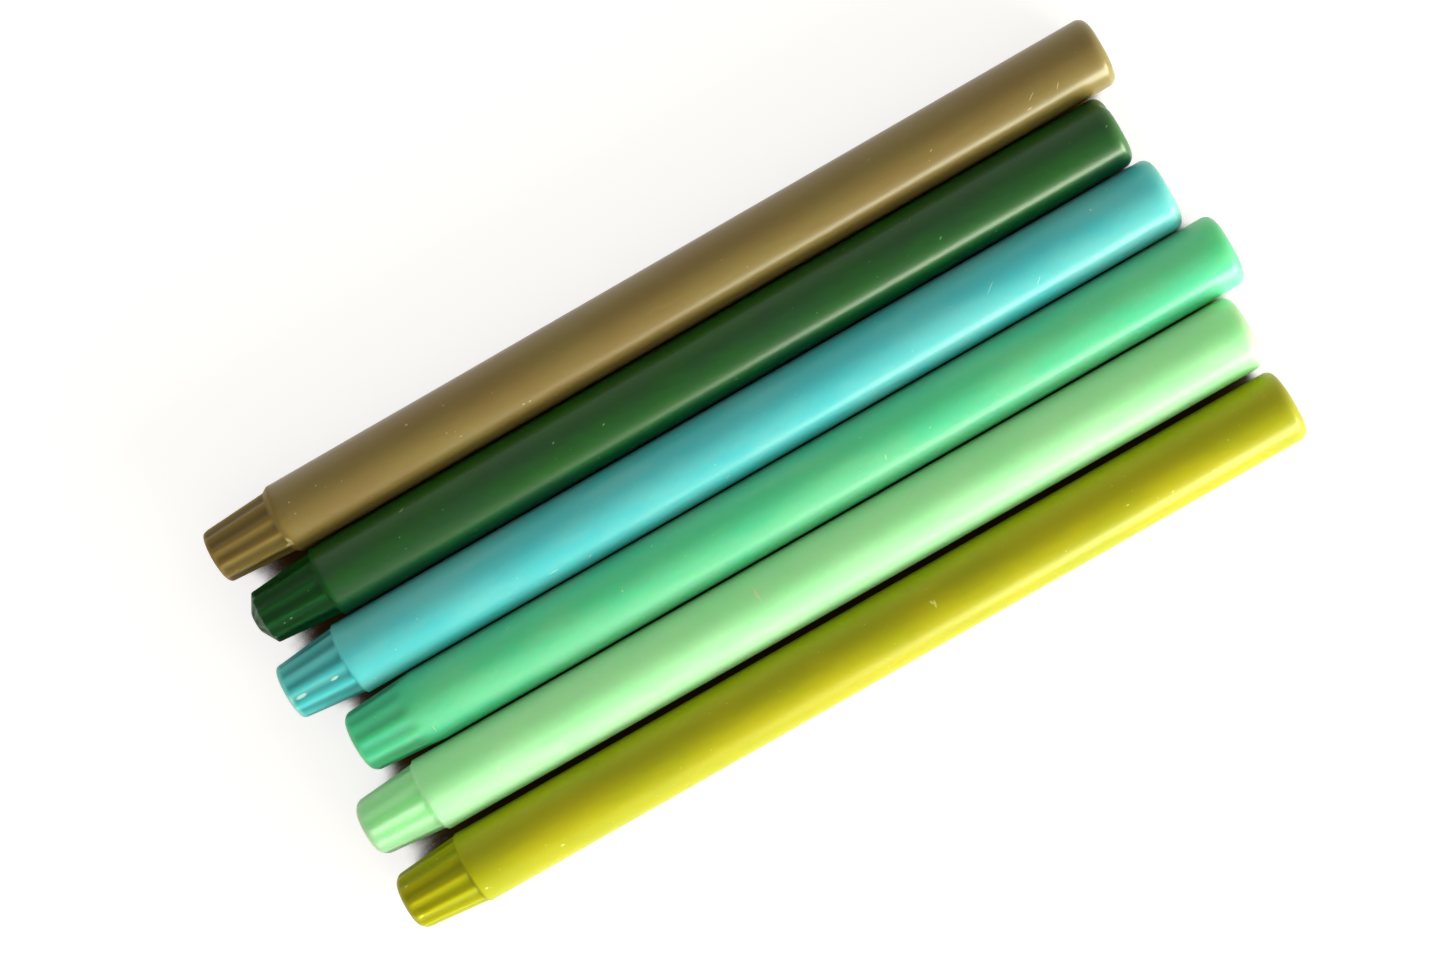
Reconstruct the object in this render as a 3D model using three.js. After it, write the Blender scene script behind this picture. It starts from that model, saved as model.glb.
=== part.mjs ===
// A row of six dinner candles lying side by side, modelled in millimetres with +Z up.
// +X runs along the candles from the fluted plug to the wick end. +Y runs across the row,
// from the yellow-green candle to the olive one. The row lies on Z = 0, and the origin is
// the centre of its underside.
//
// Each candle is two pieces: a dyed wax stick, and a cotton wick that runs right through it.
import * as THREE from "three";

// --- Driving dimensions -------------------------------------------------------------------

// The wax stick. The candles are poured in one mould size and differ a little from it.
const bodyDiameter = 22.1;
const bodyLength = 270; // from the shoulder to the wick end
const topRounding = 3; // radius of the rim at the wick end
const topCrown = 0.6; // how far the middle of the wick end stands above its rim

// The plug that goes into a candle holder.
const plugLength = 21;
const plugTaper = 1.5; // how much smaller the plug's end is than its neck, on the radius
const fluteCount = 12;

// The wick, which is trimmed flush with the wax at both ends.
const wickDiameter = 2.4;
const wickClearance = 0.3; // between the wick and the wax around it, on the radius

// The space that is left between two candles that touch.
const touchingGap = 0.35;

// How finely round shapes are divided.
const facetsPerFlute = 4;
const roundFacets = fluteCount * facetsPerFlute;
const wickFacets = 12;
const topArcSteps = 4;
const plugArcSteps = 3;

// The six candles, from the +Y side of the row to the -Y side. Sizes are in millimetres:
//   thicker, longer               how its body differs from the mould's sizes
//   plugLonger, tapersMore        how its plug differs from them
//   rounding                      radius of the rim at the plug's end
//   step, bevel                   how far the shoulder stands out from the plug, on the
//                                 radius, and the length that it takes to do so
//   flute                         how deep the flutes are
//   turn                          how far it is rolled, in degrees: one arris of its flutes
//                                 is at this angle from the top, towards the next candle
//   start                         where its plug begins, along the row
//   gapAfter                      the space between it and the next candle
const candles = [
  {
    name: "olive_brown",
    colour: 0x857443,
    thicker: -0.7,
    longer: 2.4,
    plugLonger: 0.2,
    tapersMore: -0.2,
    rounding: 1.8,
    step: 0.9,
    bevel: 1.9,
    flute: 0.7,
    turn: 22,
    start: 1.6,
    gapAfter: touchingGap,
  },
  {
    name: "dark_green",
    colour: 0x1f6a2c,
    thicker: -0.2,
    longer: -8,
    plugLonger: 2.2,
    tapersMore: 0.1,
    rounding: 4.4,
    step: 0.7,
    bevel: 0.5,
    flute: 0.7,
    turn: 17,
    start: 2.7,
    gapAfter: touchingGap,
  },
  {
    name: "turquoise",
    colour: 0x63c9c2,
    thicker: 0.3,
    longer: 0.9,
    plugLonger: -1.2,
    tapersMore: 0.5,
    rounding: 1.2,
    step: 0.6,
    bevel: 0.5,
    flute: 0.7,
    turn: 5.5,
    start: 0.7,
    gapAfter: touchingGap,
  },
  {
    name: "mid_green",
    colour: 0x5fd093,
    thicker: 0.1,
    longer: -2.8,
    plugLonger: 0.1,
    tapersMore: -0.2,
    rounding: 2.8,
    step: 0.2,
    bevel: 2.5,
    flute: 0.5,
    turn: 3,
    start: 10.5,
    gapAfter: 0.5,
  },
  {
    name: "light_green",
    colour: 0xbbf5b5,
    thicker: 0.6,
    longer: 0.9,
    plugLonger: -0.7,
    tapersMore: 0,
    rounding: 3.6,
    step: 0.8,
    bevel: 1.2,
    flute: 0.6,
    turn: 1,
    start: 0.4,
    gapAfter: 1.8,
  },
  {
    name: "yellow_green",
    colour: 0xc4bf12,
    thicker: 0,
    longer: 0.8,
    plugLonger: 0.3,
    tapersMore: 0.2,
    rounding: 3.2,
    step: 0.4,
    bevel: 0.5,
    flute: 0.7,
    turn: 28,
    start: 0,
    gapAfter: 0,
  },
];

// --- Sizes worked out from the driving dimensions ------------------------------------------

const boreRadius = wickDiameter / 2 + wickClearance;
const radiusOf = (candle) => (bodyDiameter + candle.thicker) / 2;
const neckRadiusOf = (candle) => radiusOf(candle) - candle.step;
const plugEndRadiusOf = (candle) => neckRadiusOf(candle) - plugTaper - candle.tapersMore;
const plugFlatRadiusOf = (candle) => plugEndRadiusOf(candle) - candle.rounding;
const plugLengthOf = (candle) => plugLength + candle.plugLonger;
const waxLengthOf = (candle) => plugLengthOf(candle) + bodyLength + candle.longer;

// How far apart the axes of two neighbours are, across the row. Both lie on the same table,
// so a thicker candle's axis is also higher than a thinner one's.
function axisSpacing(candle, next) {
  const apart = radiusOf(candle) + radiusOf(next) + candle.gapAfter;
  const higher = radiusOf(candle) - radiusOf(next);
  return Math.sqrt(apart ** 2 - higher ** 2);
}

// --- Shapes --------------------------------------------------------------------------------

// Points of a round rim, from one angle to another. A point is (radius, distance along).
function arcPoints(centreRadius, centreAlong, size, fromAngle, toAngle, steps) {
  const points = [];
  for (let i = 0; i <= steps; i += 1) {
    const angle = fromAngle + ((toAngle - fromAngle) * i) / steps;
    const radius = centreRadius + size * Math.cos(angle);
    const along = centreAlong + size * Math.sin(angle);
    points.push(new THREE.Vector2(radius, along));
  }
  return points;
}

// The rim at the plug's end, and the one at the wick end.
function plugRim(candle) {
  const size = candle.rounding;
  return arcPoints(plugFlatRadiusOf(candle), size, size, -Math.PI / 2, 0, plugArcSteps);
}

function topRim(candle) {
  const centreRadius = radiusOf(candle) - topRounding;
  const centreAlong = waxLengthOf(candle) - topCrown - topRounding;
  return arcPoints(centreRadius, centreAlong, topRounding, 0, Math.PI / 2, topArcSteps);
}

// The outline that is turned into a wax stick: out over the plug's end, along the plug, over
// the shoulder, along the body, over the crowned wick end, and back through the wick's bore.
function waxOutline(candle) {
  const shoulder = plugLengthOf(candle);
  return [
    new THREE.Vector2(boreRadius, 0),
    ...plugRim(candle),
    new THREE.Vector2(neckRadiusOf(candle), shoulder),
    new THREE.Vector2(radiusOf(candle), shoulder + candle.bevel),
    ...topRim(candle),
    new THREE.Vector2(boreRadius, waxLengthOf(candle)),
    new THREE.Vector2(boreRadius, 0),
  ];
}

// Presses the flutes into the side of a plug that stands along Y. Between two arrises the
// side is hollow, and deepest half way. The flat of the plug's end stays round.
function pressFlutes(geometry, candle) {
  const hair = 1e-3;
  const turn = THREE.MathUtils.degToRad(candle.turn);
  const flatRadius = plugFlatRadiusOf(candle);
  const position = geometry.getAttribute("position");
  for (let i = 0; i < position.count; i += 1) {
    const radius = Math.hypot(position.getX(i), position.getZ(i));
    const onPlug = position.getY(i) < plugLengthOf(candle) + hair;
    if (onPlug && radius > flatRadius + hair) {
      const angle = Math.atan2(position.getX(i), position.getZ(i)) - turn;
      const hollow = candle.flute * Math.abs(Math.sin((fluteCount / 2) * angle));
      const scale = (radius - hollow) / radius;
      position.setX(i, position.getX(i) * scale);
      position.setZ(i, position.getZ(i) * scale);
    }
  }
}

function waxGeometry(candle) {
  const turn = THREE.MathUtils.degToRad(candle.turn);
  const geometry = new THREE.LatheGeometry(waxOutline(candle), roundFacets, turn);
  pressFlutes(geometry, candle);
  geometry.rotateZ(-Math.PI / 2); // from standing along Y to lying along X
  return geometry;
}

function wickGeometry(candle) {
  const radius = wickDiameter / 2;
  const length = waxLengthOf(candle);
  const geometry = new THREE.CylinderGeometry(radius, radius, length, wickFacets);
  geometry.rotateZ(-Math.PI / 2);
  geometry.translate(length / 2, 0, 0);
  return geometry;
}

// --- Materials -----------------------------------------------------------------------------

function waxMaterial(colour) {
  return new THREE.MeshStandardMaterial({ color: colour, roughness: 0.42, metalness: 0 });
}

function cottonMaterial() {
  return new THREE.MeshStandardMaterial({ color: 0xe6dfcb, roughness: 0.95, metalness: 0 });
}

// --- Assembly ------------------------------------------------------------------------------

// One candle, lying on Z = 0 with its axis along X and the end of its plug at X = 0.
function makeCandle(candle) {
  const wax = new THREE.Mesh(waxGeometry(candle), waxMaterial(candle.colour));
  wax.name = `${candle.name}_wax`;
  wax.geometry.computeBoundingBox();
  const wick = new THREE.Mesh(wickGeometry(candle), cottonMaterial());
  wick.name = `${candle.name}_wick`;
  const group = new THREE.Group();
  group.add(wax, wick);
  group.position.z = -wax.geometry.boundingBox.min.z;
  return group;
}

// The candles side by side, each at its own start along the row.
function makeRow() {
  const row = new THREE.Group();
  let across = 0;
  candles.forEach((candle, i) => {
    const group = makeCandle(candle);
    group.position.x = candle.start;
    group.position.y = across;
    row.add(group);
    if (i + 1 < candles.length) across -= axisSpacing(candle, candles[i + 1]);
  });
  return row;
}

const row = makeRow();
const centre = new THREE.Box3().setFromObject(row, true).getCenter(new THREE.Vector3());
row.position.set(-centre.x, -centre.y, 0);

const candleSet = new THREE.Group();
candleSet.add(row);
export default candleSet;
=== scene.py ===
import math

import bpy
import numpy as np
from mathutils import Matrix, Vector


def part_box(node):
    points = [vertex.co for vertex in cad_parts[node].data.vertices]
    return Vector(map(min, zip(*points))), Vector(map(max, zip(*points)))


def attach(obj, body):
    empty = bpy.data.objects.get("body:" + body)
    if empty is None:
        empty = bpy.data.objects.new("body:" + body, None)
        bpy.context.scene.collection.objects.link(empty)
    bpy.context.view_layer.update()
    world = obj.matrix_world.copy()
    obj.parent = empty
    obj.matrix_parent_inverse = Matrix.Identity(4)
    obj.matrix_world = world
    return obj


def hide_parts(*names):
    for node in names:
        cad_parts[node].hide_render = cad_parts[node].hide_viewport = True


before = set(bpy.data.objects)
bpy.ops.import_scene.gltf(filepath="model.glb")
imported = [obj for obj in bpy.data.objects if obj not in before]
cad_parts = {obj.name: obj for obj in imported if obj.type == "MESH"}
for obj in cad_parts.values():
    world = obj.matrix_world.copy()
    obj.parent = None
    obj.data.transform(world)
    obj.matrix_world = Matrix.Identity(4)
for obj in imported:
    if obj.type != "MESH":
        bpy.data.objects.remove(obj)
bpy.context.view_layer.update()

MM = 0.001  # the script's lengths are in metres
TURN = 2 * math.pi


# --- The candles ----------------------------------------------------------------------------
#
# Colours are linear, and scatter is how far light of each colour spreads in the wax, in mm.
# polish is how much of a gloss the wax's skin has.
# bruise is the paler tone that the wax turns to where it is nicked, rubbed or chipped. The same
# tone is painted at the rims of the wick end and the plug's end as a painted glow, standing for
# light that comes through the wax there, and tip and plug_glow say how strong that painted glow
# is.
#
# flute_painted_shade says how much painted shade darkens the hollows of the flutes, and
# flute_fade over how many mm they run out before the shoulder. bevel is how far along the plug
# the bevel round its end reaches, in mm, and 0 where the end has a round rim.
#
# A mark is a nick, fleck or scratch, apart from the first two on the turquoise plug, which are
# painted highlights: (distance from the plug's end in mm, angle from the top towards the next
# candle in degrees, length in mm, width in mm, slant in degrees). The length runs along the
# candle, apart from the slant.
#
# A dent is a place where the wax is pressed in or broken out: (distance from the plug's end,
# or from the wick end where it is negative, in mm, angle as above, width in mm, depth in mm).

CANDLES = [
    {
        "name": "olive_brown",
        "colour": (0.255, 0.19, 0.054),
        "mottle": (0.25, 0.17, 0.05),
        "scatter": (1.6, 1.0, 0.5),
        "polish": 0.42,
        "bruise_and_glow": (0.62, 0.56, 0.30),
        "tip_glow": 0.3,
        "plug_glow": 0.1,
        "flute_painted_shade": 0.85,
        "flute_fade": 0,
        "bevel": 0,
        "marks": [
            (22, 41, 1.8, 3.2, 10),
            (21.5, 50, 3.0, 1.3, 20),
            (28, -15, 0.8, 0.6, 0),
            (37, -17, 0.9, 0.4, 20),
            (28, 5, 0.6, 0.5, 0),
            (68, -30, 1.1, 0.8, 0),
            (80, -27, 0.7, 0.4, 0),
            (77, 14, 0.6, 0.4, 30),
            (80, 30, 0.9, 0.4, 0),
            (100, 36, 0.8, 0.6, 0),
            (102, 37, 0.9, 0.5, 0),
            (236, 9, 1.2, 0.4, 35),
            (266, 30, 2.0, 0.5, 10),
            (268, 14, 3.2, 0.3, 35),
            (276, 20, 2.6, 0.35, 55),
        ],
        "dents": [(22, 44, 2.4, 0.5)],
    },
    {
        "name": "dark_green",
        "colour": (0.001, 0.088, 0.003),
        "mottle": (0.004, 0.07, 0.014),
        "scatter": (0.2, 0.6, 0.25),
        "polish": 0.45,
        "bruise_and_glow": (0.22, 0.50, 0.20),
        "tip_glow": 0.35,
        "plug_glow": 0.0,
        "flute_painted_shade": 0.9,
        "flute_fade": 0,
        "bevel": 3.0,
        "marks": [
            (8, 32, 0.8, 0.6, 0),
            (10.4, 29, 1.0, 0.9, 20),
            (53.4, -39, 1.9, 0.5, 28),
            (101, -10, 1.0, 0.5, 35),
            (116, 4, 1.0, 0.5, 10),
            (225, 13, 1.1, 0.45, 40),
            (281, -8, 0.9, 0.5, 50),
        ],
        "dents": [(-0.6, -48, 4.4, 1.4), (-0.4, -70, 3.0, 0.8)],
    },
    {
        "name": "turquoise",
        "colour": (0.15, 0.6, 0.67),
        "mottle": (0.09, 0.57, 0.67),
        "scatter": (1.7, 14.0, 13.0),
        "polish": 0.3,
        "bruise_and_glow": (0.66, 0.86, 0.80),
        "tip_glow": 0.35,
        "plug_glow": 0.5,
        "flute_painted_shade": 0.8,
        "flute_fade": 0,
        "bevel": 0,
        "marks": [
            # painted highlights: the next two marks stand for glints of light on the plug's
            # arrises
            (3.9, 18, 4.0, 1.8, 6),
            (15, 17, 3.0, 1.2, 8),
            (84.6, 42, 3.6, 0.4, 0),
            (95.7, 52, 1.5, 0.4, 35),
            (141, 51, 2.2, 0.3, 20),
            (232, -4, 5.0, 0.25, 38),
            (245, 22, 3.6, 0.25, 45),
            (267.6, -32, 0.5, 1.0, 20),
        ],
        "dents": [],
    },
    {
        "name": "mid_green",
        "colour": (0.18, 0.66, 0.39),
        "mottle": (0.11, 0.65, 0.39),
        "scatter": (2.5, 14.0, 6.0),
        "polish": 0.28,
        "bruise_and_glow": (0.52, 0.84, 0.44),
        "tip_glow": 0.2,
        "plug_glow": 0.35,
        "flute_painted_shade": 0.5,
        "flute_fade": 5,
        "bevel": 0,
        "marks": [
            (22.8, 38, 0.6, 2.6, 0),
            (55.2, -45, 1.3, 0.4, 25),
            (102.7, -44, 1.2, 0.4, 35),
            (89.3, -4, 0.5, 1.2, 0),
            (173, 18, 0.6, 1.8, -15),
            (188, 12, 0.8, 0.4, 30),
        ],
        "dents": [(22.8, 38, 1.6, 0.2), (-0.4, -62, 3.4, 0.7)],
    },
    {
        "name": "light_green",
        "colour": (0.49, 0.97, 0.55),
        "mottle": (0.43, 0.96, 0.51),
        "scatter": (3.8, 8.0, 3.6),
        "polish": 0.13,
        "bruise_and_glow": (0.88, 0.96, 0.70),
        "tip_glow": 0.55,
        "plug_glow": 0.7,
        "flute_painted_shade": 0.15,
        "flute_fade": 0,
        "bevel": 0,
        "marks": [
            (132, -20, 0.9, 5.0, 4),
            (43.7, 13, 1.4, 0.5, 20),
            (62, 46, 1.0, 0.4, 10),
            (161, 50, 2.2, 0.4, 0),
            (229, 6, 0.4, 0.7, 0),
        ],
        "dents": [],
    },
    {
        "name": "yellow_green",
        "colour": (0.46, 0.43, 0.001),
        "mottle": (0.4, 0.405, 0.001),
        "scatter": (1.8, 1.7, 0.12),
        "polish": 0.2,
        "bruise_and_glow": (0.84, 0.86, 0.30),
        "tip_glow": 0.2,
        "plug_glow": 0.2,
        "flute_painted_shade": 0.5,
        "flute_fade": 0,
        "bevel": 0,
        "marks": [
            (3.4, -36, 1.2, 1.0, 0),
            (3.0, 33, 1.8, 1.0, 30),
            (23.6, 37, 1.0, 0.9, 0),
            (48.7, 37, 1.5, 0.6, 0),
            (174.4, -8, 0.8, 1.8, 30),
            (175, -4, 0.8, 2.6, -10),
            (236, 10, 1.0, 0.5, 0),
            (249, 27, 1.2, 0.4, 20),
            (262, 30, 0.9, 0.5, 0),
        ],
        "dents": [(3.0, 33, 2.4, 0.3)],
    },
]


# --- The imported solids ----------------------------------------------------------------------

MICROMETRES = 6  # decimals of a metre
ARRIS_PLAY = 0.01 * MM  # how far below the neck's full radius a point is still on an arris


def measure_wax(node):
    """Sizes of a packed wax stick, in metres: distances are from its plug's end."""
    low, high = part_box(node)
    axis_y = (low.y + high.y) / 2
    axis_z = (low.z + high.z) / 2
    points = np.array([v.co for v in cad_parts[node].data.vertices])
    along = np.round(points[:, 0] - low.x, MICROMETRES)
    across = points[:, 1] - axis_y
    up = points[:, 2] - axis_z
    radius = np.hypot(across, up)
    # The stick is a stack of rings. The two longest steps between rings are the body and
    # the plug's side.
    rings = np.unique(along)
    outer = np.array([radius[along == ring].max() for ring in rings])
    body = int(np.argmax(np.diff(rings)))
    plug = int(np.argmax(np.diff(rings[:body])))
    neck = along == rings[plug + 1]
    arris = neck & (radius > outer[plug + 1] - ARRIS_PLAY)
    arris_angle = np.arctan2(-across[arris], up[arris])
    return {
        "start": Vector((low.x, axis_y, axis_z)),
        "length": high.x - low.x,
        "flat_radius": outer[0],
        "plug_rim": rings[plug],
        "plug_radius": outer[plug],
        "neck": rings[plug + 1],
        "neck_radius": outer[plug + 1],
        "flute": outer[plug + 1] - radius[neck].min(),
        "turn": float(arris_angle[np.argmin(np.abs(arris_angle))]),
        "shoulder": rings[body],
        "radius": min(outer[body], (high.z - low.z) / 2),
        "top_rim": rings[body + 1],
        "top_edge": rings[-2],
        "top_flat": outer[-2],
    }


# --- Mesh helpers ---------------------------------------------------------------------------


def smooth(t):
    """Goes from 0 to 1 with a soft start and end."""
    t = np.clip(t, 0, 1)
    return t * t * (3 - 2 * t)


def tube_mesh(name, along, radius):
    """A closed turned body: rows of rings, whose last ring joins the first.

    along and radius have one row for each ring and one column for each angle. The angle
    goes from the top towards -Y.
    """
    rows, columns = radius.shape
    angle = np.linspace(0, TURN, columns, endpoint=False)
    points = np.stack([along, -radius * np.sin(angle), radius * np.cos(angle)], axis=-1)
    faces = []
    for row in range(rows):
        below = row * columns
        above = (row + 1) % rows * columns
        for column in range(columns):
            after = (column + 1) % columns
            faces.append((below + column, below + after, above + after, above + column))
    mesh = bpy.data.meshes.new(name)
    mesh.from_pydata(points.reshape(-1, 3).tolist(), [], faces)
    mesh.shade_smooth()
    mesh.update()
    return mesh


def add_piece(name, mesh, place, material, body, node):
    """Puts a mesh at its place in the row, on its body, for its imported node."""
    piece = bpy.data.objects.new(name, mesh)
    bpy.context.scene.collection.objects.link(piece)
    piece.location = place
    mesh.materials.append(material)
    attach(piece, body)
    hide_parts(node)


# --- Wax sticks -----------------------------------------------------------------------------

FLUTES = 12
COLUMNS = FLUTES * 12  # points round a ring
SKIN = 0.03 * MM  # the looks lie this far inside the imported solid's outline

# How many rings each part of a stick's outline has.
ROW_STEP = 1.0 * MM  # between the rings of the body, and of the plug's side
RIM_ROWS = 12
BEVEL_ROWS = 12
SHOULDER_ROWS = 9
PLUG_FACE_ROWS = 8
WICK_FACE_ROWS = 9

BORE_FIT = 0.04 * MM  # the wax grips the wick, this far outside it
MOUTH_EDGE = 0.1 * MM  # how much the edge of the bore's mouth is broken
MOUTH_RINGS = (0.5 * MM, 6 * MM)  # rings this far into the bore keep its mouth crisp
OUTSIDE_BORE = 2  # rings wider than this many times the wick are outside the bore

FLUTE_ROUNDING = 0.45  # how blunt an arris is: at 0 it would be a sharp edge
OFF_FACE = 0.98  # rings narrower than this share of the plug's flat lie on its face
BEVEL_FLAT = 0.8 * MM  # how much smaller the flat of a plug's end is where it is bevelled
BEVEL_RUN_IN = 1.5 * MM  # the flutes go over a bevel, and end this near to the flat
NO_FADE = 1e-6  # stands for a fade of no length

WAVE = 0.05 * MM  # how uneven the body is
WAVE_LOBES = (1, 2, 3, 4, 5)  # crests round the stick
WAVES_EACH = 3
WAVE_PITCH = (25, 140)  # the least and most from crest to crest along the stick, in mm

END_SLANT = 0.25 * MM  # how far out of square the wick end is
RIM_RIPPLE = 0.25  # how uneven its rim is, as a share of that
RIM_LOBES = 5
SLANT_START = 4 * MM  # both start this far before the rim,
SLANT_REACH = 5 * MM  # and are whole after this length


def line_rows(start, end, start_radius, end_radius, count):
    """Rows on a straight line, without its two ends."""
    share = np.linspace(0, 1, count + 2)[1:-1]
    along = start + (end - start) * share
    radius = start_radius + (end_radius - start_radius) * share
    return list(zip(along, radius))


def plug_end_rows(size, bevel):
    """The rim of the plug's end: a quarter of an ellipse, or a bevel and what is left of it."""
    flat = size["flat_radius"]
    first = math.acos(1 - bevel / size["plug_rim"])
    turn = np.linspace(first, math.pi / 2, RIM_ROWS)
    along = size["plug_rim"] * (1 - np.cos(turn))
    radius = flat + (size["plug_radius"] - flat) * np.sin(turn)
    round_rows = list(zip(along, radius))
    if bevel == 0:
        return round_rows
    narrow = flat - BEVEL_FLAT
    return [(0, narrow)] + line_rows(0, bevel, narrow, radius[0], BEVEL_ROWS) + round_rows


def shoulder_rows(size):
    """The step from the plug's neck to the body, rounded at its foot and at its edge."""
    share = np.linspace(0, 1, SHOULDER_ROWS)
    along = size["neck"] + (size["shoulder"] - size["neck"]) * share
    radius = size["neck_radius"] + (size["radius"] - size["neck_radius"]) * smooth(share)
    return list(zip(along, radius))


def wick_end_rows(size):
    """The rim of the wick end, a quarter of an ellipse."""
    turn = np.linspace(0, math.pi / 2, RIM_ROWS)
    along = size["top_rim"] + (size["top_edge"] - size["top_rim"]) * np.sin(turn)
    radius = size["top_flat"] + (size["radius"] - size["top_flat"]) * np.cos(turn)
    return list(zip(along, radius))


def side_rows(start, end, start_radius, end_radius):
    """Rows on a long straight side, a step apart."""
    return line_rows(start, end, start_radius, end_radius, int((end - start) / ROW_STEP))


def wax_rows(size, wick_radius, bevel):
    """The outline of a wax stick, from the bore at the plug's end to the bore at the top."""
    bore = wick_radius + BORE_FIT
    mouth = bore + MOUTH_EDGE
    near, far = MOUTH_RINGS
    length = size["length"]
    radius = size["radius"]
    rim = plug_end_rows(size, bevel)
    rows = [(far, bore), (near, bore), (MOUTH_EDGE, mouth)]
    rows += line_rows(0, 0, bore, rim[0][1], PLUG_FACE_ROWS)
    rows += rim
    rows += side_rows(size["plug_rim"], size["neck"], size["plug_radius"], size["neck_radius"])
    rows += shoulder_rows(size)
    rows += side_rows(size["shoulder"], size["top_rim"], radius, radius)
    rows += wick_end_rows(size)
    rows += line_rows(size["top_edge"], length, size["top_flat"], bore, WICK_FACE_ROWS)
    rows += [(length - MOUTH_EDGE, mouth), (length - near, bore), (length - far, bore)]
    return np.array(rows)


def flute_depth(size, along, outline, angle, bevel, fade):
    """How deep the flutes are at each ring and angle: hollows between blunt arrises."""
    into_end = smooth(along / (BEVEL_RUN_IN if bevel else size["plug_rim"]))
    run_out = 1 - smooth((along - size["neck"] + fade) / max(fade, NO_FADE))
    share = into_end * run_out * (outline > size["flat_radius"] * OFF_FACE)
    swing = np.abs(np.sin(FLUTES / 2 * (angle - size["turn"])))
    hollow = np.sqrt(swing**2 + FLUTE_ROUNDING**2) - FLUTE_ROUNDING
    hollow /= hollow.max()
    return size["flute"] * share[:, None] * hollow[None, :]


def wave_depth(along, angle, random):
    """How far the poured body sinks in at each ring and angle."""
    wave = np.zeros((len(along), len(angle)))
    for lobes in WAVE_LOBES:
        for _ in range(WAVES_EACH):
            pitch = random.uniform(*WAVE_PITCH) * MM
            phase = random.uniform(0, TURN)
            wave += np.sin(TURN * along[:, None] / pitch + lobes * angle[None, :] + phase) / lobes
    return WAVE * ((wave - wave.min()) / (wave.max() - wave.min()))


def dent_depth(size, along, angle, dents):
    """How far the wax is pressed in by its dents, at each ring and angle."""
    depth = np.zeros((len(along), len(angle)))
    for distance, turned, width, most in dents:
        place = distance * MM if distance > 0 else size["length"] + distance * MM
        off_turn = (angle - math.radians(turned) + math.pi) % TURN - math.pi
        across = off_turn * size["radius"]
        reach = np.hypot(along[:, None] - place, across[None, :]) / (width * MM / 2)
        depth = np.maximum(depth, most * MM * (1 - smooth(reach)))
    return depth


def end_pull(size, along, angle, random):
    """How far the wick end is pulled in: it isn't square, and its rim is a little uneven."""
    slant = random.uniform(0, TURN)
    uneven = (1 - np.cos(angle - slant)) / 2
    uneven += RIM_RIPPLE * (1 - np.cos(RIM_LOBES * angle + slant)) / 2
    share = smooth((along - size["top_rim"] + SLANT_START) / SLANT_REACH)
    return END_SLANT * share[:, None] * uneven[None, :]


def wax_mesh(name, size, wick_radius, seed, candle):
    """A wax stick. All its unevenness goes inwards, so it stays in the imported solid's box."""
    bevel = candle["bevel"] * MM
    fade = candle["flute_fade"] * MM
    rows = wax_rows(size, wick_radius, bevel)
    along, outline = rows[:, 0], rows[:, 1]
    angle = np.linspace(0, TURN, COLUMNS, endpoint=False)
    random = np.random.default_rng(seed)
    outside = (outline > wick_radius * OUTSIDE_BORE)[:, None]
    wave = wave_depth(along, angle, random)
    dents = dent_depth(size, along, angle, candle["dents"])
    radius = outline[:, None] - flute_depth(size, along, outline, angle, bevel, fade)
    radius -= (SKIN + wave + dents) * outside
    pulled = along[:, None] - end_pull(size, along, angle, random) * outside
    return tube_mesh(name, pulled, radius)


# --- Wicks ----------------------------------------------------------------------------------

WICK_COLUMNS = 48
WICK_STRANDS = 4
BRAID_PITCH = 3.2 * MM
BRAID_DEPTH = 0.22 * MM
BRAID_SHOWN = 8 * MM  # the part at each end that has fine rings, the only one that can show
BRAID_STEP = 0.1 * MM  # between those rings
HIDDEN_ROWS = 12  # rings between the two parts
END_RINGS = (0.02, 0.3, 0.6, 0.85)  # on a cut end, as shares of the wick's radius


def wick_mesh(name, length, radius):
    """A round braid with cut ends, whose strands cross over and under each other."""
    start = np.arange(0, BRAID_SHOWN, BRAID_STEP)
    middle = np.linspace(BRAID_SHOWN, length - BRAID_SHOWN, HIDDEN_ROWS)
    rings = np.concatenate([start, middle, length - start[::-1]])
    angle = np.linspace(0, TURN, WICK_COLUMNS, endpoint=False)
    across = WICK_STRANDS / 2 * angle[None, :]
    drift = TURN / 2 * rings[:, None] / BRAID_PITCH
    over = np.abs(np.sin(across + drift))
    under = np.abs(np.sin(across - drift))
    relief = BRAID_DEPTH * (1 - np.maximum(over, under))
    rings, radius_rows = close_ends(rings, radius - SKIN - relief)
    return tube_mesh(name, np.repeat(rings[:, None], WICK_COLUMNS, 1), radius_rows)


def close_ends(rings, radius_rows):
    """Adds the cut ends of a wick: rings that narrow to a point in the middle."""
    shares = np.array(END_RINGS)
    first = radius_rows[0] * shares[:, None]
    last = radius_rows[-1] * shares[::-1, None]
    rows = np.concatenate([first, radius_rows, last])
    ends = np.full(len(shares), rings[0]), np.full(len(shares), rings[-1])
    return np.concatenate([ends[0], rings, ends[1]]), rows


# --- Node helpers ---------------------------------------------------------------------------

MIX_A, MIX_B, MIX_RESULT = 6, 7, 2  # the colour sockets of a Mix node
RELIEF = 0.05 * MM  # how deep the relief of wax and of cotton goes


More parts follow.
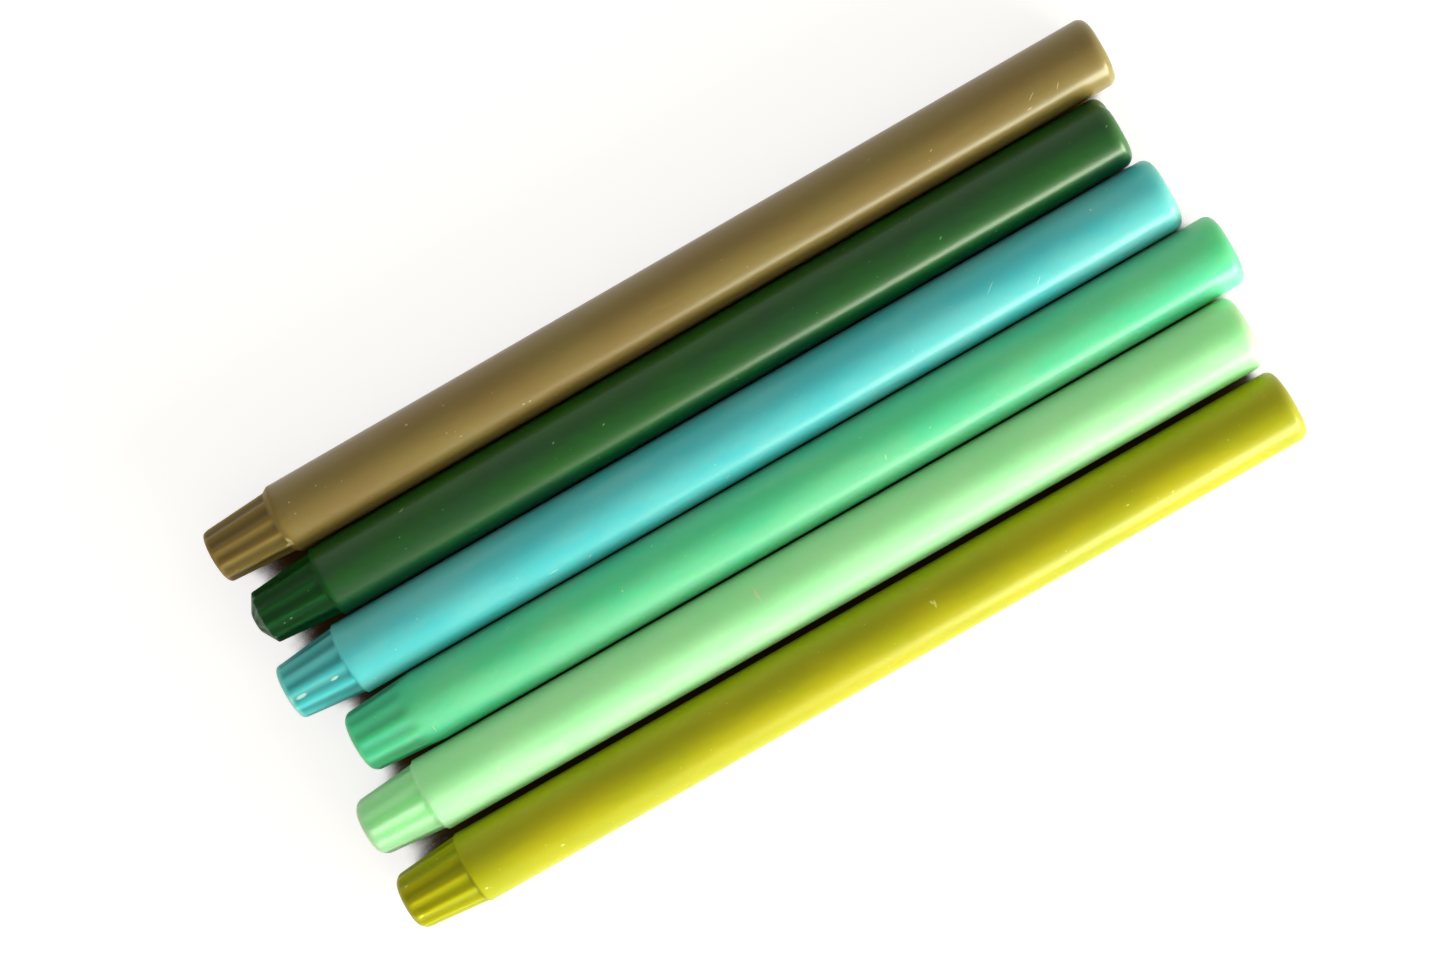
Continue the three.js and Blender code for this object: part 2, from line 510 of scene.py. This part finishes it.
class Nodes:
    """Shorter ways to build the nodes of a material or of the world."""

    def __init__(self, owner):
        owner.use_nodes = True
        self.tree = owner.node_tree
        self.tree.nodes.clear()

    def put(self, socket, value):
        """Joins a socket to another node's, or sets its value."""
        if isinstance(value, bpy.types.NodeSocket):
            self.tree.links.new(value, socket)
        else:
            socket.default_value = value

    def add(self, kind, values=(), **settings):
        node = self.tree.nodes.new(kind)
        for key, value in settings.items():
            setattr(node, key, value)
        for key, value in dict(values).items():
            self.put(node.inputs[key], value)
        return node

    def math(self, operation, a, b=0.0, clamp=False):
        node = self.add("ShaderNodeMath", {0: a, 1: b}, operation=operation, use_clamp=clamp)
        return node.outputs[0]

    def vector(self, operation, a, b):
        return self.add("ShaderNodeVectorMath", {0: a, 1: b}, operation=operation).outputs[0]

    def split(self, vector):
        """The X, Y and Z of a vector."""
        return self.add("ShaderNodeSeparateXYZ", {0: vector}).outputs

    def noise(self, place, per_metre, drawn, detail):
        """Noise with so many features in a metre, and this share of them along the candle."""
        drawn_place = self.vector("MULTIPLY", place, (drawn, 1, 1))
        values = {"Vector": drawn_place, "Scale": per_metre, "Detail": detail, "Roughness": 0.55}
        return self.add("ShaderNodeTexNoise", values).outputs["Fac"]

    def ramp(self, value, low, high, to_low=0.0, to_high=1.0):
        """Goes softly from one value to another while the input goes from low to high."""
        values = {"Value": value, 1: low, 2: high, 3: to_low, 4: to_high}
        node = self.add("ShaderNodeMapRange", values, interpolation_type="SMOOTHSTEP")
        return node.outputs["Result"]

    def mix(self, share, a, b):
        """A colour between two, each a socket or its red, green and blue."""
        node = self.add("ShaderNodeMix", {0: share}, data_type="RGBA")
        for place, colour in ((MIX_A, a), (MIX_B, b)):
            if not isinstance(colour, bpy.types.NodeSocket):
                colour = (*colour, 1.0)
            self.put(node.inputs[place], colour)
        return node.outputs[MIX_RESULT]

    def bump(self, height, strength):
        values = {"Strength": strength, "Distance": RELIEF, "Height": height}
        return self.add("ShaderNodeBump", values).outputs["Normal"]

    def end(self, shader, output="ShaderNodeOutputMaterial"):
        """Makes a shader the surface of the material, or of the world."""
        self.put(self.add(output).inputs["Surface"], shader.outputs[0])


# --- Materials ------------------------------------------------------------------------------

# In mm, as the places on the surface are.
RAGGED = 0.35  # how far the edge of a mark wanders
SPECK_SPACING = 5.0
SPECK_SIZE = 0.35
TIP_GLOW_REACH = 6.0  # how far the painted glow at the wick end goes
PLUG_GLOW_REACH = 2.0  # and the one at the plug's end
RIM_BEYOND = 0.5  # both painted glows would be strongest this far outside the wax
SHADE_FADE = 0.6  # the least length over which the flutes' painted shade ends at the neck
SHADE_BEYOND = 0.1  # and how far past the neck it ends
SHADE_START = (0.3, 2.0)  # where it starts, and is whole, from the plug's end
WORN_REACH = 2.0  # how far past the shoulder the duller skin goes

# The grain of wax and cotton: features in a metre, the share of them along the candle, and
# how much detail they have.
BLOTCH = (90.0, 0.35, 3.0)
STREAK = (1500.0, 0.03, 4.0)
RIPPLE = (420.0, 0.3, 2.0)
GRAIN = (1800.0, 1.0, 2.0)
FIBRE = (9000.0, 0.25, 3.0)
NEXT_GRAIN = 0.37  # from one candle's stretch of the grain to the next one's, in metres

MARK_EDGE = (0.55, 1.1)  # a mark fades between these shares of its half size
RAGS = 2.5  # how many times in a mm its edge wanders
SPECK_DRAW = (0.72, 0.85)  # a cell has no speck below the first, and a whole one above both
SPECK_EDGE = 0.5  # the share of a speck's size over which it fades
SPECK_TONE = 0.5  # how much of a mark a speck is
BLOTCH_EDGE = (0.35, 0.65)
FLUTE_SHADE = 0.55  # the painted shade at the bottom of the flutes is this share as bright as elsewhere
BRUISE_TONE = 0.7  # how much of the paler tone is in a mark
BRUISE_DEPTH = 1.5  # how deep it is, against the drag lines
BRUISE_DULLS = 0.25  # how much rougher
RIPPLE_HEIGHT = 2.2  # how high the ripples are, against the drag lines
STREAK_EDGE = (0.3, 0.7)
FIBRE_EDGE = (0.3, 0.7)
WAX_RELIEF = 0.12  # how strongly the relief shows on wax,
COTTON_RELIEF = 0.6  # and on cotton
GLOSS = (0.36, 0.48)  # the roughness of the wax, from streak to streak
SHINE_DYE = 0.56  # how much of the dye's hue is in the light thrown back under the skin
DULL_PLUG = 0.9  # how much of the polish is lost on the plug
COTTON_SHADE = (0.62, 0.55, 0.41)
COTTON_LIGHT = (0.80, 0.75, 0.62)


def on_the_surface(nodes, place, radius):
    """The place on the wax in mm: the distance from the plug's end, and round the stick."""
    x, y, z = nodes.split(place)
    turned = nodes.math("ARCTAN2", nodes.math("MULTIPLY", y, -1), z)
    around = nodes.math("MULTIPLY", turned, radius / MM)
    distance = nodes.math("MULTIPLY", x, 1 / MM)
    return nodes.add("ShaderNodeCombineXYZ", {0: distance, 1: around}).outputs[0]


def marks_on(nodes, surface, marks, radius):
    """Where the wax is nicked or scratched, and two painted highlights: 1 inside a mark, with a
    ragged edge.
    """
    values = {"Vector": surface, "Scale": RAGS, "Detail": 3.0}
    ragged = nodes.add("ShaderNodeTexNoise", values).outputs["Color"]
    ragged = nodes.vector("SUBTRACT", ragged, (0.5, 0.5, 0.5))
    ragged = nodes.vector("MULTIPLY", ragged, (RAGGED, RAGGED, 0))
    spot = nodes.vector("ADD", surface, ragged)
    covered = 0.0
    for distance, turned, length, width, slant in marks:
        values = {
            "Vector": spot,
            "Location": (distance, math.radians(turned) * radius / MM, 0),
            "Rotation": (0, 0, math.radians(-slant)),
            "Scale": (length / 2, width / 2, 1),
        }
        local = nodes.add("ShaderNodeMapping", values, vector_type="TEXTURE").outputs[0]
        reach = nodes.add("ShaderNodeVectorMath", {0: local}, operation="LENGTH").outputs["Value"]
        covered = nodes.math("MAXIMUM", covered, nodes.ramp(reach, *MARK_EDGE, 1.0, 0.0))
    return covered


def specks_on(nodes, surface):
    """Fine pale specks, a few on every candle's side."""
    values = {"Vector": surface, "Scale": 1 / SPECK_SPACING, "Randomness": 1.0}
    cells = nodes.add("ShaderNodeTexVoronoi", values, voronoi_dimensions="2D")
    draw = nodes.add("ShaderNodeSeparateColor", {0: cells.outputs["Color"]})
    chosen = nodes.ramp(draw.outputs["Red"], *SPECK_DRAW)
    size = nodes.math("MULTIPLY", draw.outputs["Green"], SPECK_SIZE / SPECK_SPACING)
    inside = nodes.math("SUBTRACT", 1.0, nodes.math("DIVIDE", cells.outputs["Distance"], size))
    return nodes.math("MULTIPLY", nodes.ramp(inside, 0.0, SPECK_EDGE), chosen)


def painted_glow_at_ends(nodes, surface, size, candle):
    """Painted glow at the two rims, standing for light that comes through the wax there."""
    distance = nodes.split(surface)["X"]
    length = size["length"] / MM
    tip_glow = nodes.ramp(distance, length - TIP_GLOW_REACH, length + RIM_BEYOND, 0.0, candle["tip_glow"])
    plug = nodes.ramp(distance, -RIM_BEYOND, PLUG_GLOW_REACH, candle["plug_glow"], 0.0)
    return nodes.math("MAXIMUM", tip_glow, plug)


def painted_flute_shade(nodes, surface, size, fade):
    """Where the flutes get painted shade: 1 at the bottom of a flute, and 0 on its arrises and on
    the body.
    """
    distance, around, _ = nodes.split(surface)
    turned = nodes.math("MULTIPLY", around, FLUTES / 2 * MM / size["radius"])
    turned = nodes.math("SUBTRACT", turned, FLUTES / 2 * size["turn"])
    hollow = nodes.math("ABSOLUTE", nodes.math("SINE", turned))
    neck = size["neck"] / MM
    before_neck = nodes.ramp(distance, neck - max(fade, SHADE_FADE), neck + SHADE_BEYOND, 1.0, 0.0)
    on_plug = nodes.math("MULTIPLY", before_neck, nodes.ramp(distance, *SHADE_START))
    return nodes.math("MULTIPLY", nodes.math("POWER", hollow, 2.0), on_plug)


def wax_colour(nodes, place, surface, size, candle, bruised):
    """Mottled dye, with painted shade in the flutes and a painted glow at the rims, and pale
    where it is bruised.
    """
    blotch = nodes.ramp(nodes.noise(place, *BLOTCH), *BLOTCH_EDGE)
    colour = nodes.mix(blotch, candle["colour"], candle["mottle"])
    # painted shade: the dye darkened at the bottom of the flutes
    deep = tuple(channel * FLUTE_SHADE for channel in candle["mottle"])
    flutes = painted_flute_shade(nodes, surface, size, candle["flute_fade"])
    colour = nodes.mix(nodes.math("MULTIPLY", flutes, candle["flute_painted_shade"]), colour, deep)
    # painted glow at the two rims, in the bruises' paler tone
    colour = nodes.mix(painted_glow_at_ends(nodes, surface, size, candle), colour, candle["bruise_and_glow"])
    return nodes.mix(nodes.math("MULTIPLY", bruised, BRUISE_TONE), colour, candle["bruise_and_glow"])


def wax_relief(nodes, place, streak, bruised):
    """Fine drag lines along the stick, a fine grain, soft ripples, and the nicks."""
    ripple = nodes.noise(place, *RIPPLE)
    height = nodes.math("ADD", streak, nodes.noise(place, *GRAIN))
    height = nodes.math("ADD", height, nodes.math("MULTIPLY", ripple, RIPPLE_HEIGHT))
    height = nodes.math("SUBTRACT", height, nodes.math("MULTIPLY", bruised, BRUISE_DEPTH))
    return nodes.bump(height, WAX_RELIEF)


def wax_polish(nodes, surface, size, polish):
    """How polished the skin is: less on the plug and its shoulder, where it is worn."""
    shoulder = size["shoulder"] / MM
    distance = nodes.split(surface)["X"]
    worn = nodes.ramp(distance, shoulder, shoulder + WORN_REACH, 1.0, 0.0)
    return nodes.math("ADD", nodes.math("MULTIPLY", worn, -DULL_PLUG * polish), polish)


def dyed_shine(colour):
    """The tint of light thrown back from just under the skin: partly the dye's."""
    brightest = max(colour)
    return (*(1 - SHINE_DYE + SHINE_DYE * channel / brightest for channel in colour), 1)


def wax_material(candle, size, seed):
    material = bpy.data.materials.new(candle["name"] + "_wax")
    nodes = Nodes(material)
    place = nodes.add("ShaderNodeTexCoord").outputs["Object"]
    surface = on_the_surface(nodes, place, size["radius"])
    # No two candles have the same grain and specks.
    place = nodes.vector("ADD", place, (seed * NEXT_GRAIN, 0, 0))
    specks = specks_on(nodes, nodes.vector("ADD", surface, (seed * NEXT_GRAIN / MM, 0, 0)))
    marks = marks_on(nodes, surface, candle["marks"], size["radius"])
    bruised = nodes.math("MAXIMUM", marks, nodes.math("MULTIPLY", specks, SPECK_TONE))
    streak = nodes.noise(place, *STREAK)
    gloss = nodes.ramp(streak, *STREAK_EDGE, *GLOSS)
    relief = wax_relief(nodes, place, streak, bruised)
    values = {
        "Base Color": wax_colour(nodes, place, surface, size, candle, bruised),
        "Roughness": nodes.math("ADD", gloss, nodes.math("MULTIPLY", bruised, BRUISE_DULLS)),
        "IOR": 1.45,
        "Specular IOR Level": 0.34,
        "Specular Tint": dyed_shine(candle["colour"]),
        "Subsurface Weight": 1.0,
        "Subsurface Radius": candle["scatter"],
        "Subsurface Scale": MM,
        "Coat Weight": wax_polish(nodes, surface, size, candle["polish"]),
        "Coat Roughness": 0.27,
        "Coat IOR": 1.8,
        "Normal": relief,
        "Coat Normal": relief,
    }
    nodes.end(nodes.add("ShaderNodeBsdfPrincipled", values))
    return material


def cotton_material():
    material = bpy.data.materials.new("wick_cotton")
    nodes = Nodes(material)
    fibre = nodes.noise(nodes.add("ShaderNodeTexCoord").outputs["Object"], *FIBRE)
    values = {
        "Base Color": nodes.mix(nodes.ramp(fibre, *FIBRE_EDGE), COTTON_SHADE, COTTON_LIGHT),
        "Roughness": 0.85,
        "Normal": nodes.bump(fibre, COTTON_RELIEF),
    }
    nodes.end(nodes.add("ShaderNodeBsdfPrincipled", values))
    return material


# --- Building the row -----------------------------------------------------------------------

FIRST_SEED = 100


def build_candle(candle, seed, cotton):
    name = candle["name"]
    size = measure_wax(name + "_wax")
    low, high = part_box(name + "_wick")
    wick_radius = (high.z - low.z) / 2
    wax = wax_mesh(name + "_wax_stick", size, wick_radius, seed, candle)
    add_piece(
        name + "_wax_stick", wax, size["start"], wax_material(candle, size, seed),
        name + "_candle", name + "_wax",
    )
    wick = wick_mesh(name + "_braided_wick", high.x - low.x, wick_radius)
    add_piece(
        name + "_braided_wick", wick, size["start"], cotton,
        name + "_candle", name + "_wick",
    )


cotton = cotton_material()
for number, candle in enumerate(CANDLES):
    build_candle(candle, FIRST_SEED + number, cotton)


# --- Floor, light and camera ----------------------------------------------------------------

FLOOR_REACH = 3.0
FLOOR_DROP = 0.05 * MM  # how far the floor lies under the candles
NEARBY = 20 * MM  # how far from the wax the floor is in its shade
FLOOR_WHITE = (0.98, 0.97, 1, 1)
WHITENESS = 0.77
WHITE_WHERE = (0.26, 0.42)  # how open the floor is where its white starts, and is whole
PALE_WHERE = (0.24, 0.38)  # and where its tone passes from the painted shade of the gaps to its own
# painted shade: the floor's tone where the wax closes round it, darkest in the gaps
GAP_SHADE = (0.10, 0.05, 0.015)
FLOOR_TONE = (0.42, 0.41, 0.38)

SKY = (1.0, 0.97, 0.79, 1.0)
SIDES = 0.75  # how strong the light is from the sides,
OVERHEAD = 0.45  # and from overhead
SIDES_END = (0.35, 0.95)  # the heights in the sky between which it changes
LEAN = 0.09  # how much brighter it is on the window's side of the row, as a share
LEAN_ENDS = (-0.8, 0.8)  # how far to each side in the sky it is whole
BACKDROP_END = (0.1, 0.3)  # the heights in the sky between which the white backdrop ends

WINDOW_PLACE = Vector((0.8, -1.72, 0.4))
WINDOW_WIDTH = 1.7
WINDOW_HEIGHT = 0.95
WINDOW_POWER = 76
WINDOW_COLOUR = (0.98, 1.0, 0.82)

CAMERA_PLACE = Vector((25.75, 3.785, 904.4)) * MM
CAMERA_AIM = Vector((-10.32, 3.785, 0)) * MM
CAMERA_TURN = math.radians(29.79)  # how far the row is turned up from the picture's right
CAMERA_LENS = 77.6
CAMERA_SENSOR = 36
CAMERA_SIGHT = 20  # how far it sees


def seen_directly(nodes):
    """1 for what the camera sees, in a reflection or through glass too, and 0 for lighting."""
    seen = nodes.add("ShaderNodeLightPath").outputs
    direct = nodes.math("ADD", seen["Is Camera Ray"], seen["Is Glossy Ray"])
    return nodes.math("ADD", direct, seen["Is Transmission Ray"], clamp=True)


def floor_material():
    """White where the sky reaches it, with the candles' shadow, and painted shade where the wax
    closes round it, darkest in the gaps between them.
    """
    material = bpy.data.materials.new("floor")
    nodes = Nodes(material)
    occlusion = nodes.add("ShaderNodeAmbientOcclusion", {"Distance": NEARBY}, samples=32)
    open_sky = occlusion.outputs["AO"]
    # painted shade: the white fades out where the wax closes round the floor
    strength = nodes.ramp(open_sky, *WHITE_WHERE, 0.0, WHITENESS)
    white = nodes.add("ShaderNodeEmission", {"Color": FLOOR_WHITE, "Strength": strength})
    # painted shade in the floor's own tone where the wax closes round it
    tone = nodes.mix(nodes.ramp(open_sky, *PALE_WHERE), GAP_SHADE, FLOOR_TONE)
    matte = nodes.add("ShaderNodeBsdfDiffuse", {"Color": tone}).outputs[0]
    both = nodes.add("ShaderNodeAddShader", {0: matte, 1: white.outputs[0]}).outputs[0]
    nodes.end(nodes.add("ShaderNodeMixShader", {0: seen_directly(nodes), 1: matte, 2: both}))
    return material


def build_floor():
    reach = FLOOR_REACH
    corners = [(-reach, -reach, 0), (reach, -reach, 0), (reach, reach, 0), (-reach, reach, 0)]
    mesh = bpy.data.meshes.new("floor")
    mesh.from_pydata(corners, [], [(0, 1, 2, 3)])
    mesh.materials.append(floor_material())
    floor = bpy.data.objects.new("floor", mesh)
    bpy.context.scene.collection.objects.link(floor)
    floor.location.z = -FLOOR_DROP


def build_world():
    """Soft light all round, and a white backdrop that reaches a little way up."""
    world = bpy.data.worlds.new("studio")
    bpy.context.scene.world = world
    nodes = Nodes(world)
    direction = nodes.split(nodes.add("ShaderNodeTexCoord").outputs["Generated"])
    strength = nodes.ramp(direction["Z"], *SIDES_END, SIDES, OVERHEAD)
    lean = nodes.ramp(direction["Y"], *LEAN_ENDS, 1 + LEAN, 1 - LEAN)
    strength = nodes.math("MULTIPLY", strength, lean)
    soft = nodes.add("ShaderNodeBackground", {"Color": SKY, "Strength": strength})
    white = nodes.add("ShaderNodeBackground", {"Color": (1, 1, 1, 1), "Strength": 1.0})
    low_down = nodes.ramp(direction["Z"], *BACKDROP_END, 1.0, 0.0)
    backdrop = nodes.math("MULTIPLY", seen_directly(nodes), low_down)
    shaders = {0: backdrop, 1: soft.outputs[0], 2: white.outputs[0]}
    nodes.end(nodes.add("ShaderNodeMixShader", shaders), "ShaderNodeOutputWorld")


def build_window():
    """One large soft light, low beside the row and turned to its middle."""
    light = bpy.data.lights.new("window", "AREA")
    light.shape = "RECTANGLE"
    light.size = WINDOW_WIDTH
    light.size_y = WINDOW_HEIGHT
    light.energy = WINDOW_POWER
    light.color = WINDOW_COLOUR
    lamp = bpy.data.objects.new("window", light)
    bpy.context.scene.collection.objects.link(lamp)
    lamp.location = WINDOW_PLACE
    lamp.rotation_euler = (-WINDOW_PLACE).to_track_quat("-Z", "Y").to_euler()


def build_camera():
    """Looks almost straight down, with the row's +X turned up from the picture's right."""
    forward = (CAMERA_AIM - CAMERA_PLACE).normalized()
    right = Vector((math.cos(CAMERA_TURN), -math.sin(CAMERA_TURN), 0))
    right = (right - forward * right.dot(forward)).normalized()
    up = right.cross(forward)
    data = bpy.data.cameras.new("camera")
    data.sensor_width = CAMERA_SENSOR
    data.lens = CAMERA_LENS
    data.clip_end = CAMERA_SIGHT
    camera = bpy.data.objects.new("camera", data)
    axes = Matrix((right, up, -forward)).transposed().to_4x4()
    camera.matrix_world = Matrix.Translation(CAMERA_PLACE) @ axes
    bpy.context.scene.collection.objects.link(camera)
    bpy.context.scene.camera = camera


build_floor()
build_world()
build_window()
build_camera()
bpy.context.scene.view_settings.view_transform = "Standard"
